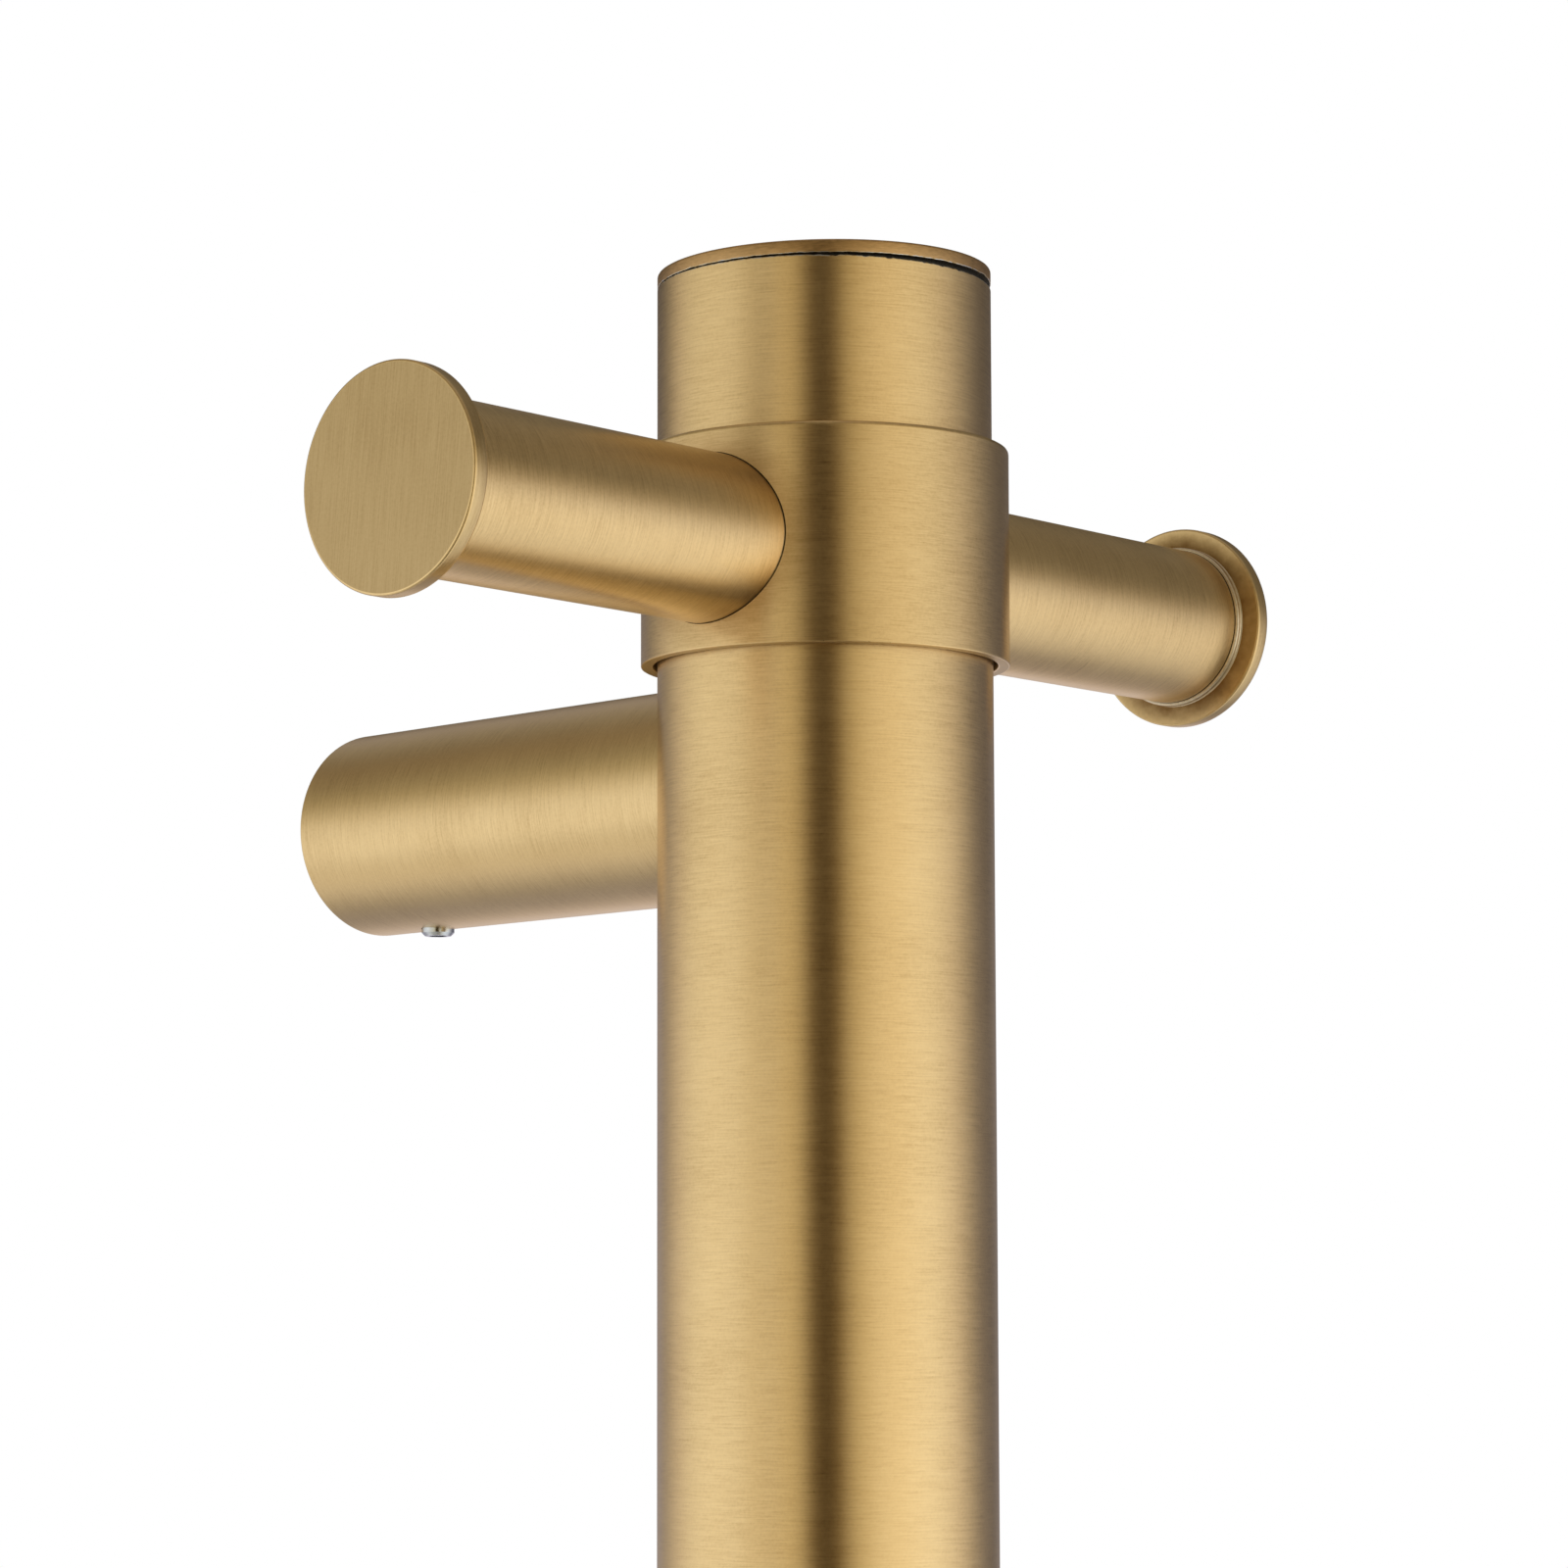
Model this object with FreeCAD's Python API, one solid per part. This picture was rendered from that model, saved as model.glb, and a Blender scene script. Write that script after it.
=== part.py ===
import FreeCAD, Part
import math
import os

# Wall-mounted electric towel rail: one heated upright tube on two round brackets, with a slip-on
# ring that carries two pegs. Millimetres, +Z up, wall plane at y = 0, room towards -Y. The origin
# is on the wall, midway between the brackets.

# Driving dimensions of the rail
RAIL_HEIGHT = 900.0
RAIL_DEPTH = 100.0          # wall to the front of the upright
TUBE_OD = 38.0
TUBE_WALL = 1.5
BRACKET_INSET = 58.3        # end of the rail to the bracket's axis
BRACKET_OD = 25.0
BRACKET_WALL = 1.5

# Driving dimensions of the hook
HOOK_WIDTH = 142.0          # over both end discs
HOOK_REST_ANGLE = 7.4       # how far the hook stands swivelled, left peg towards the room
COLLAR_OD = 41.8
COLLAR_ID = 39.1
COLLAR_HEIGHT = 24.6
COLLAR_RIM = 0.3            # chamfer on the collar's outer edges
PEG_OD = 19.0
PEG_WALL = 1.5
DISC_OD = 24.6
DISC_THICKNESS = 2.0
STEP_OD = 19.8              # shoulder behind each end disc
STEP_THICKNESS = 1.0

# Fits and clearances
FIT = 0.05                  # radial gap between fitted parts
REST_GAP = 0.3              # collar above the bracket at rest
EDGE = 0.25                 # small edge chamfers
CAP_GAP = 0.4               # seal gap under each end cap

# End caps
CAP_THICKNESS = 1.5
CAP_SPIGOT_LENGTH = 8.0
CAP_SPIGOT_WALL = 2.0
SEAL_WIDTH = 0.9

# Glide rings inside the collar
GROOVE_DEPTH = 0.6
GROOVE_HEIGHT = 1.2
GROOVE_FROM_EDGE = 3.5

# Bracket fixings: bolt, saddle nut, plug, wall boss, grub screw
BOLT_RADIUS = 2.5
BOLT_HEAD_RADIUS = 4.25
BOLT_HEAD_LENGTH = 5.0
BOLT_SOCKET = 4.0           # across flats
BOLT_TIP = 1.0              # how far the bolt comes through its nut
NUT_THICKNESS = 4.0
NUT_WIDTH = 14.0
NUT_HEIGHT = 8.0
PLUG_LENGTH = 10.0          # beyond the front of the saddle
BOSS_LENGTH = 18.0
BOSS_CLEARANCE = 0.1
BOSS_CABLE_RADIUS = 3.6
WALL_SCREW_SPACING = 14.2
WALL_SCREW_RADIUS = 1.8
WALL_SCREW_HEAD_RADIUS = 3.4
GRUB_RADIUS = 2.0
GRUB_LENGTH = 5.0
GRUB_PROUD = 0.8            # how far the grub screw stands out of the bracket
GRUB_FROM_WALL = 11.6
GRUB_CHAMFER = 0.4
GRUB_SOCKET = 2.0           # across flats

# Peg fixings
PEG_PLUG_LENGTH = 9.0
PEG_SCREW_RADIUS = 2.5
PEG_SCREW_HEAD_RADIUS = 4.6
PEG_SCREW_LENGTH = 9.5
PEG_SCREW_SUNK = 0.1        # head below the collar's bore
PEG_SCREW_SOCKET = 3.0
DISC_SPIGOT_LENGTH = 8.0

# Heating element and wiring
ELEMENT_RADIUS = 5.0
ELEMENT_LENGTH = 660.0
SPACER_COUNT = 4
SPACER_PITCH = 165.0
SPACER_HEIGHT = 8.0
SPACER_HUB_RADIUS = 8.0
SPACER_ARM_WIDTH = 3.0
SPACER_ARMS = 3
SPACER_TURN = 90.0          # degrees from +X to the first arm
SEAL_HEIGHT = 6.0
SEAL_RADIUS = 6.0
CUTOUT_HEIGHT = 16.0
CUTOUT_RADIUS = 6.5
LEAD_RADIUS = 0.9
LEAD_SPREAD = 1.05          # each lead's distance from the bundle's middle
LEAD_DROP = 6.8             # bundle below the bracket's axis
LEAD_BEND = 10.0
LEAD_FROM_AXIS = 4.0        # upright's axis to the bundle
LEAD_HOLE_RADIUS = 2.2
EARTH_HEIGHT = 7.0          # earth lead above the bracket's axis
EARTH_SIDE = 3.5            # earth screw to the side of the bracket's axis
EARTH_SCREW_RADIUS = 1.5
EARTH_SCREW_HEAD_RADIUS = 2.5
EARTH_SCREW_HEAD_LENGTH = 1.6
EARTH_SCREW_LENGTH = 6.0
TAG_THICKNESS = 0.8
TAG_BARREL_RADIUS = 1.4
TAG_BARREL_LENGTH = 6.0
BLOCK_WIDTH = 10.0
BLOCK_HEIGHT = 17.2
BLOCK_LENGTH = 14.0
BLOCK_FROM_BOSS = 7.0
BLOCK_HOLE_DEPTH = 5.0
GROMMET_WALL = 0.95

# Derived sizes
TUBE_RADIUS = TUBE_OD / 2
TUBE_BORE = TUBE_RADIUS - TUBE_WALL
AXIS_Y = TUBE_RADIUS - RAIL_DEPTH
TUBE_END = RAIL_HEIGHT / 2 - CAP_THICKNESS - CAP_GAP
BRACKET_Z = RAIL_HEIGHT / 2 - BRACKET_INSET
BRACKET_RADIUS = BRACKET_OD / 2
BRACKET_BORE = BRACKET_RADIUS - BRACKET_WALL
PLUG_BACK_Y = AXIS_Y + TUBE_RADIUS + PLUG_LENGTH
BOSS_RADIUS = BRACKET_BORE - BOSS_CLEARANCE
HOOK_Z = BRACKET_Z + BRACKET_RADIUS + REST_GAP + COLLAR_HEIGHT / 2
COLLAR_RADIUS = COLLAR_OD / 2
COLLAR_BORE = COLLAR_ID / 2
PEG_RADIUS = PEG_OD / 2
PEG_BORE = PEG_RADIUS - PEG_WALL
PEG_END = HOOK_WIDTH / 2 - DISC_THICKNESS - STEP_THICKNESS
ELEMENT_BOTTOM = -ELEMENT_LENGTH / 2
CUTOUT_BOTTOM = ELEMENT_BOTTOM - SEAL_HEIGHT - CUTOUT_HEIGHT
LOWER_Z = -BRACKET_Z
LEAD_Z = LOWER_Z - LEAD_DROP
EARTH_Z = LOWER_Z + EARTH_HEIGHT
BLOCK_FRONT_Y = -BOSS_LENGTH - BLOCK_FROM_BOSS - BLOCK_LENGTH

UP = FreeCAD.Vector(0, 0, 1)
SAME_RADIUS = 1e-6          # radii closer than this are the same
HEX_SIDES = 6


def at(x, y, z):
    return FreeCAD.Vector(x, y, z)


def rod(radius, start, end):
    return Part.makeCylinder(radius, (end - start).Length, start, end - start)


def pipe(outer, inner, start, end):
    return rod(outer, start, end).cut(rod(inner, start, end))


def cone(start_radius, end_radius, start, end):
    return Part.makeCone(start_radius, end_radius, (end - start).Length, start, end - start)


def box(centre, x_size, y_size, z_size):
    corner = centre - at(x_size / 2, y_size / 2, z_size / 2)
    return Part.makeBox(x_size, y_size, z_size, corner)


def chamfered(shape, size, radius):
    """Chamfer the circular edges of one radius."""
    circles = [edge for edge in shape.Edges if isinstance(edge.Curve, Part.Circle)]
    edges = [edge for edge in circles if abs(edge.Curve.Radius - radius) < SAME_RADIUS]
    return shape.makeChamfer(size, edges)


def hex_prism(across_flats, start, end):
    """Hexagonal prism for a hex socket, about the line from start to end."""
    along = (end - start).normalize()
    # For a direction along an axis, swapping its coordinates round gives one square to it
    side = along.cross(at(along.z, along.x, along.y)).normalize()
    corner = side * (across_flats / math.sqrt(3))
    turn = FreeCAD.Rotation(along, 360 / HEX_SIDES)
    corners = [start + corner]
    for _ in range(HEX_SIDES):
        corner = turn.multVec(corner)
        corners.append(start + corner)
    return Part.Face(Part.makePolygon(corners)).extrude(end - start)


def upright(radius):
    """Full-height cylinder about the upright's axis, for saddle cuts."""
    return rod(radius, at(0, AXIS_Y, -RAIL_HEIGHT / 2), at(0, AXIS_Y, RAIL_HEIGHT / 2))


# Upright and caps

def rail_tube():
    tube = pipe(TUBE_RADIUS, TUBE_BORE, at(0, AXIS_Y, -TUBE_END), at(0, AXIS_Y, TUBE_END))
    for z in (BRACKET_Z, LOWER_Z):
        tube = tube.cut(rod(BOLT_RADIUS + FIT, at(0, AXIS_Y, z), at(0, 0, z)))
    return tube.cut(rod(LEAD_HOLE_RADIUS, at(0, AXIS_Y, LEAD_Z), at(0, 0, LEAD_Z)))


def end_cap(side):
    """Disc with a hollow spigot; side is 1 at the top and -1 at the bottom."""
    outer_z = side * RAIL_HEIGHT / 2
    inner_z = outer_z - side * CAP_THICKNESS
    face = at(0, AXIS_Y, inner_z)
    disc = chamfered(rod(TUBE_RADIUS, face, at(0, AXIS_Y, outer_z)), EDGE, TUBE_RADIUS)
    spigot_end = at(0, AXIS_Y, inner_z - side * CAP_SPIGOT_LENGTH)
    spigot_radius = TUBE_BORE - FIT
    spigot = pipe(spigot_radius, spigot_radius - CAP_SPIGOT_WALL, spigot_end, face)
    return disc.fuse(spigot)


def cap_seal(side):
    """Flat ring in the gap between a cap and the tube's end."""
    start = at(0, AXIS_Y, side * TUBE_END)
    end = at(0, AXIS_Y, side * (TUBE_END + CAP_GAP))
    return pipe(TUBE_BORE + SEAL_WIDTH, TUBE_BORE, start, end)


# Brackets

def bracket_tube(z):
    """Tube from the wall to the upright, saddle-cut, with a tapped hole for the grub screw."""
    tube = pipe(BRACKET_RADIUS, BRACKET_BORE, at(0, AXIS_Y, z), at(0, 0, z))
    tube = tube.cut(upright(TUBE_RADIUS + FIT))
    hole = rod(GRUB_RADIUS + FIT, at(0, -GRUB_FROM_WALL, z - BRACKET_OD), at(0, -GRUB_FROM_WALL, z))
    return tube.cut(hole)


def bracket_plug(z):
    """Plug in the bracket's saddle end; the bolt's head bears on it."""
    plug = rod(BRACKET_BORE - FIT, at(0, AXIS_Y, z), at(0, PLUG_BACK_Y, z))
    plug = plug.cut(upright(TUBE_RADIUS + FIT))
    return plug.cut(rod(BOLT_RADIUS + FIT, at(0, AXIS_Y, z), at(0, 0, z)))


def lower_bracket_plug():
    """The lower plug also passes the leads and takes the earth screw."""
    plug = bracket_plug(LOWER_Z)
    plug = plug.cut(rod(LEAD_HOLE_RADIUS, at(0, AXIS_Y, LEAD_Z), at(0, 0, LEAD_Z)))
    tapped_depth = EARTH_SCREW_LENGTH + TAG_THICKNESS
    start = at(-EARTH_SIDE, PLUG_BACK_Y - tapped_depth, EARTH_Z)
    return plug.cut(rod(EARTH_SCREW_RADIUS + FIT, start, at(-EARTH_SIDE, 0, EARTH_Z)))


def saddle_nut(z):
    """Plate curved to the tube's bore, with the bolt's thread."""
    front_y = AXIS_Y + TUBE_BORE - NUT_THICKNESS
    middle = at(0, (front_y + AXIS_Y + TUBE_BORE) / 2, z)
    plate = box(middle, NUT_WIDTH, NUT_THICKNESS, NUT_HEIGHT).common(upright(TUBE_BORE - FIT))
    return plate.cut(rod(BOLT_RADIUS + FIT, at(0, AXIS_Y, z), at(0, 0, z)))


def bracket_bolt(z):
    """Socket-head bolt from inside the bracket into the saddle nut."""
    tip_y = AXIS_Y + TUBE_BORE - NUT_THICKNESS - BOLT_TIP
    head_back_y = PLUG_BACK_Y + BOLT_HEAD_LENGTH
    shank = rod(BOLT_RADIUS, at(0, tip_y, z), at(0, PLUG_BACK_Y, z))
    head = rod(BOLT_HEAD_RADIUS, at(0, PLUG_BACK_Y, z), at(0, head_back_y, z))
    socket = hex_prism(BOLT_SOCKET, at(0, head_back_y - BOLT_HEAD_LENGTH / 2, z), at(0, head_back_y, z))
    return shank.fuse(head).cut(socket)


def wall_boss(z):
    """Puck screwed to the wall, with a cable hole, two countersunk holes and a grub-screw dimple."""
    back = at(0, 0, z)
    front = at(0, -BOSS_LENGTH, z)
    boss = rod(BOSS_RADIUS, front, back)
    boss = boss.cut(rod(BOSS_CABLE_RADIUS, front, back))
    sink = WALL_SCREW_HEAD_RADIUS - WALL_SCREW_RADIUS
    for side in (-1, 1):
        offset = at(side * WALL_SCREW_SPACING / 2, 0, 0)
        boss = boss.cut(rod(WALL_SCREW_RADIUS, front + offset, back + offset))
        mouth = front + offset
        boss = boss.cut(cone(WALL_SCREW_HEAD_RADIUS, WALL_SCREW_RADIUS, mouth, mouth + at(0, sink, 0)))
    dimple_start = at(0, -GRUB_FROM_WALL, z - BRACKET_RADIUS)
    dimple = rod(GRUB_RADIUS + FIT, dimple_start, dimple_start + UP * (GRUB_LENGTH - GRUB_PROUD))
    return boss.cut(dimple)


def grub_screw(z):
    """Hex-socket grub screw up through the bracket's underside into the boss."""
    bottom = at(0, -GRUB_FROM_WALL, z - BRACKET_RADIUS - GRUB_PROUD)
    screw = rod(GRUB_RADIUS, bottom, bottom + UP * GRUB_LENGTH)
    screw = chamfered(screw, GRUB_CHAMFER, GRUB_RADIUS)
    return screw.cut(hex_prism(GRUB_SOCKET, bottom, bottom + UP * (GRUB_LENGTH / 2)))


# Heating element and wiring

def heating_element():
    bottom = at(0, AXIS_Y, ELEMENT_BOTTOM)
    top = at(0, AXIS_Y, -ELEMENT_BOTTOM - ELEMENT_RADIUS)
    return rod(ELEMENT_RADIUS, bottom, top).fuse(Part.makeSphere(ELEMENT_RADIUS, top))


def element_spacer(z):
    """Hub on the element with arms that reach to the tube's bore."""
    bottom = at(0, AXIS_Y, z - SPACER_HEIGHT / 2)
    top = at(0, AXIS_Y, z + SPACER_HEIGHT / 2)
    spacer = rod(SPACER_HUB_RADIUS, bottom, top)
    for i in range(SPACER_ARMS):
        arm = box(at(TUBE_BORE / 2, AXIS_Y, z), TUBE_BORE, SPACER_ARM_WIDTH, SPACER_HEIGHT)
        arm.rotate(at(0, AXIS_Y, 0), UP, i * 360 / SPACER_ARMS + SPACER_TURN)
        spacer = spacer.fuse(arm)
    spacer = spacer.common(rod(TUBE_BORE - FIT, bottom, top))
    return spacer.cut(rod(ELEMENT_RADIUS + FIT, bottom, top))


def element_seal():
    top = at(0, AXIS_Y, ELEMENT_BOTTOM)
    return rod(SEAL_RADIUS, top - UP * SEAL_HEIGHT, top)


def thermal_cutout():
    bottom = at(0, AXIS_Y, CUTOUT_BOTTOM)
    capsule = rod(CUTOUT_RADIUS, bottom, bottom + UP * CUTOUT_HEIGHT)
    return chamfered(capsule, EDGE, CUTOUT_RADIUS)


def power_lead(side):
    """Insulated wire down the upright, round one bend and through the lower bracket to the block."""
    x = side * LEAD_SPREAD
    down_y = AXIS_Y + LEAD_FROM_AXIS
    bend_y = down_y + LEAD_BEND
    bend_z = LEAD_Z + LEAD_BEND
    start = at(x, down_y, CUTOUT_BOTTOM)
    bend_start = at(x, down_y, bend_z)
    diagonal = LEAD_BEND / math.sqrt(2)
    bend_middle = at(x, bend_y - diagonal, bend_z - diagonal)
    bend_end = at(x, bend_y, LEAD_Z)
    end = at(x, BLOCK_FRONT_Y + BLOCK_HOLE_DEPTH, LEAD_Z)
    route = Part.Wire([
        Part.makeLine(start, bend_start),
        Part.Arc(bend_start, bend_middle, bend_end).toShape(),
        Part.makeLine(bend_end, end),
    ])
    section = Part.Wire(Part.makeCircle(LEAD_RADIUS, start, UP))
    return route.makePipeShell([section], True, False)


def earth_lead():
    start = at(EARTH_SIDE / 2, PLUG_BACK_Y + TAG_THICKNESS, EARTH_Z)
    end = at(EARTH_SIDE / 2, BLOCK_FRONT_Y + BLOCK_HOLE_DEPTH, EARTH_Z)
    return rod(LEAD_RADIUS, start, end)


def earth_tag():
    """Flat terminal under the earth screw, with a crimp barrel round the earth lead."""
    face_y = PLUG_BACK_Y
    screw = at(-EARTH_SIDE, face_y, EARTH_Z)
    barrel = at(EARTH_SIDE / 2, face_y, EARTH_Z)
    through = at(0, TAG_THICKNESS, 0)
    arm_middle = (screw + barrel + through) / 2
    tag = rod(EARTH_SCREW_HEAD_RADIUS, screw, screw + through)
    tag = tag.fuse(box(arm_middle, (barrel - screw).Length, TAG_THICKNESS, 2 * TAG_BARREL_RADIUS))
    tag = tag.fuse(rod(TAG_BARREL_RADIUS, barrel, barrel + at(0, TAG_BARREL_LENGTH, 0)))
    tag = tag.cut(rod(EARTH_SCREW_RADIUS + FIT, screw, screw + through))
    return tag.cut(rod(LEAD_RADIUS + FIT, barrel + through, barrel + at(0, TAG_BARREL_LENGTH, 0)))


def earth_screw():
    head_start = at(-EARTH_SIDE, PLUG_BACK_Y + TAG_THICKNESS, EARTH_Z)
    tip = head_start - at(0, EARTH_SCREW_LENGTH, 0)
    head_end = head_start + at(0, EARTH_SCREW_HEAD_LENGTH, 0)
    screw = rod(EARTH_SCREW_RADIUS, tip, head_start)
    screw = screw.fuse(rod(EARTH_SCREW_HEAD_RADIUS, head_start, head_end))
    slot_depth = EARTH_SCREW_HEAD_LENGTH / 2
    slot_middle = head_end - at(0, slot_depth / 2, 0)
    return screw.cut(box(slot_middle, 2 * EARTH_SCREW_HEAD_RADIUS, slot_depth, TAG_THICKNESS))


def terminal_block():
    """Three-way block inside the lower bracket, with blind wire holes."""
    middle = at(0, BLOCK_FRONT_Y + BLOCK_LENGTH / 2, LOWER_Z)
    block = box(middle, BLOCK_WIDTH, BLOCK_LENGTH, BLOCK_HEIGHT)
    wires = [(-LEAD_SPREAD, LEAD_Z), (LEAD_SPREAD, LEAD_Z), (EARTH_SIDE / 2, EARTH_Z)]
    for x, z in wires:
        front = at(x, BLOCK_FRONT_Y, z)
        block = block.cut(rod(LEAD_RADIUS + FIT, front, front + at(0, BLOCK_HOLE_DEPTH, 0)))
    return block


def cable_grommet():
    outer = BOSS_CABLE_RADIUS - FIT
    return pipe(outer, outer - GROMMET_WALL, at(0, -BOSS_LENGTH, LOWER_Z), at(0, 0, LOWER_Z))


# Hook: built square to the wall about the upright's axis, then swivelled to where it rests

HOOK_CENTRE = at(0, AXIS_Y, HOOK_Z)


def on_hook(along, across=0.0, up=0.0):
    return HOOK_CENTRE + at(along, across, up)


def swivelled(shape):
    shape.rotate(HOOK_CENTRE, UP, HOOK_REST_ANGLE)
    return shape


def around_collar(radius):
    half = COLLAR_HEIGHT / 2
    return rod(radius, on_hook(0, 0, -half), on_hook(0, 0, half))


def glide_ring_heights():
    offset = COLLAR_HEIGHT / 2 - GROOVE_FROM_EDGE
    return (-offset, offset)


def peg_screw(side):
    """Countersunk hex-socket screw from inside the collar into a peg's plug."""
    face = COLLAR_BORE + PEG_SCREW_SUNK
    shoulder = face + PEG_SCREW_HEAD_RADIUS - PEG_SCREW_RADIUS
    head = cone(PEG_SCREW_HEAD_RADIUS, PEG_SCREW_RADIUS, on_hook(side * face), on_hook(side * shoulder))
    shank = rod(PEG_SCREW_RADIUS, on_hook(side * shoulder), on_hook(side * (face + PEG_SCREW_LENGTH)))
    socket = hex_prism(PEG_SCREW_SOCKET, on_hook(side * face), on_hook(side * (face + PEG_SCREW_RADIUS)))
    return head.fuse(shank).cut(socket)


def peg_screw_space(side):
    """Room for a peg screw with its fit, open to the collar's bore."""
    face = COLLAR_BORE + PEG_SCREW_SUNK
    shoulder = face + PEG_SCREW_HEAD_RADIUS - PEG_SCREW_RADIUS
    head_radius = PEG_SCREW_HEAD_RADIUS + FIT
    shank_radius = PEG_SCREW_RADIUS + FIT
    space = cone(head_radius, shank_radius, on_hook(side * face), on_hook(side * shoulder))
    space = space.fuse(rod(shank_radius, on_hook(side * shoulder), on_hook(side * PEG_END)))
    return space.fuse(rod(head_radius, on_hook(0), on_hook(side * face)))


def hook_collar():
    collar = around_collar(COLLAR_RADIUS)
    collar = chamfered(collar, COLLAR_RIM, COLLAR_RADIUS)
    collar = collar.cut(around_collar(COLLAR_BORE))
    for height in glide_ring_heights():
        low = on_hook(0, 0, height - GROOVE_HEIGHT / 2)
        collar = collar.cut(rod(COLLAR_BORE + GROOVE_DEPTH, low, low + UP * GROOVE_HEIGHT))
    for side in (-1, 1):
        collar = collar.cut(peg_screw_space(side))
    return collar


def glide_ring(height):
    """Round-section ring held in the collar's groove; it slides on the upright."""
    inner = TUBE_RADIUS + FIT
    outer = COLLAR_BORE + GROOVE_DEPTH - FIT
    return Part.makeTorus((outer + inner) / 2, (outer - inner) / 2, on_hook(0, 0, height), UP)


def peg(side):
    tube = pipe(PEG_RADIUS, PEG_BORE, on_hook(0), on_hook(side * PEG_END))
    return tube.cut(around_collar(COLLAR_RADIUS + FIT))


def peg_plug(side):
    plug = rod(PEG_BORE - FIT, on_hook(0), on_hook(side * (COLLAR_RADIUS + PEG_PLUG_LENGTH)))
    plug = plug.cut(around_collar(COLLAR_RADIUS + FIT))
    return plug.cut(peg_screw_space(side))


def peg_disc(side):
    """End disc with a small shoulder and a spigot that fits the peg's bore."""
    outer = HOOK_WIDTH / 2
    inner = outer - DISC_THICKNESS
    disc = rod(DISC_OD / 2, on_hook(side * inner), on_hook(side * outer))
    disc = chamfered(disc, EDGE, DISC_OD / 2)
    disc = disc.fuse(rod(STEP_OD / 2, on_hook(side * PEG_END), on_hook(side * inner)))
    spigot_end = PEG_END - DISC_SPIGOT_LENGTH
    return disc.fuse(rod(PEG_BORE - FIT, on_hook(side * spigot_end), on_hook(side * PEG_END)))


def spacer_height(index):
    return (index - (SPACER_COUNT - 1) / 2) * SPACER_PITCH


def rail_nodes():
    nodes = {
        "rail_tube": rail_tube(),
        "top_cap": end_cap(1),
        "bottom_cap": end_cap(-1),
        "top_cap_seal": cap_seal(1),
        "bottom_cap_seal": cap_seal(-1),
        "upper_bracket_tube": bracket_tube(BRACKET_Z),
        "lower_bracket_tube": bracket_tube(LOWER_Z),
        "upper_bracket_plug": bracket_plug(BRACKET_Z),
        "lower_bracket_plug": lower_bracket_plug(),
        "upper_saddle_nut": saddle_nut(BRACKET_Z),
        "lower_saddle_nut": saddle_nut(LOWER_Z),
        "bracket_bolts": Part.makeCompound([bracket_bolt(BRACKET_Z), bracket_bolt(LOWER_Z)]),
        "upper_wall_boss": wall_boss(BRACKET_Z),
        "lower_wall_boss": wall_boss(LOWER_Z),
        "bracket_grub_screws": Part.makeCompound([grub_screw(BRACKET_Z), grub_screw(LOWER_Z)]),
        "heating_element": heating_element(),
        "element_seal": element_seal(),
        "thermal_cutout": thermal_cutout(),
        "live_lead": power_lead(-1),
        "neutral_lead": power_lead(1),
        "earth_lead": earth_lead(),
        "earth_tag": earth_tag(),
        "earth_screw": earth_screw(),
        "terminal_block": terminal_block(),
        "cable_grommet": cable_grommet(),
    }
    for index in range(SPACER_COUNT):
        nodes[f"element_spacer_{index + 1}"] = element_spacer(spacer_height(index))
    return nodes


def hook_nodes():
    lower, upper = glide_ring_heights()
    nodes = {
        "hook_collar": hook_collar(),
        "lower_glide_ring": glide_ring(lower),
        "upper_glide_ring": glide_ring(upper),
        "peg_screws": Part.makeCompound([peg_screw(-1), peg_screw(1)]),
    }
    for name, side in (("left", -1), ("right", 1)):
        nodes[f"{name}_peg"] = peg(side)
        nodes[f"{name}_peg_plug"] = peg_plug(side)
        nodes[f"{name}_peg_disc"] = peg_disc(side)
    return {name: swivelled(shape) for name, shape in nodes.items()}


def main():
    os.makedirs("parts", exist_ok=True)
    for name, shape in {**rail_nodes(), **hook_nodes()}.items():
        shape.exportStep(f"parts/{name}.step")
        solids = len(shape.Solids)
        print(f"{name}: {solids} solid(s), valid {shape.isValid()}, {shape.Volume / 1000:.2f} cm3")


main()
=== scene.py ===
import math
import random
from collections import namedtuple

import bmesh
import bpy
import numpy as np
from mathutils import Matrix, Vector


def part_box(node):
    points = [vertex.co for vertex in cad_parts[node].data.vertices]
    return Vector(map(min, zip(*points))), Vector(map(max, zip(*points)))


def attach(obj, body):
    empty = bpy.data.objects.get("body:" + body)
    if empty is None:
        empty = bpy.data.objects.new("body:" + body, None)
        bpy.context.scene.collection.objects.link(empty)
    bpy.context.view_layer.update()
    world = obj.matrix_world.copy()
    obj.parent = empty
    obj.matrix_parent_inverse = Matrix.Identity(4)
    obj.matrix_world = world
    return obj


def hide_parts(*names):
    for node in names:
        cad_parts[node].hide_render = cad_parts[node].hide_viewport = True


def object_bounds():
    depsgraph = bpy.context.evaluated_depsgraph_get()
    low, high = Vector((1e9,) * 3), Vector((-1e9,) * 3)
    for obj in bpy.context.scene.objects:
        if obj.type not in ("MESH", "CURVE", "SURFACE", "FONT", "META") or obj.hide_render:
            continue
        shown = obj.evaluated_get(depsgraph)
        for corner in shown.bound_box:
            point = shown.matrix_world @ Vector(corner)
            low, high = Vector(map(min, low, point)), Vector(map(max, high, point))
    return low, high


# Looks of a brushed-brass heated towel rail with a swivelling two-peg hook. Metres, +Z up, the wall
# at y = 0 and the room towards -Y. Visible turned pieces are rebuilt here round the CAD nodes' own
# sizes; the other CAD nodes stay and get their finishes.

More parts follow.
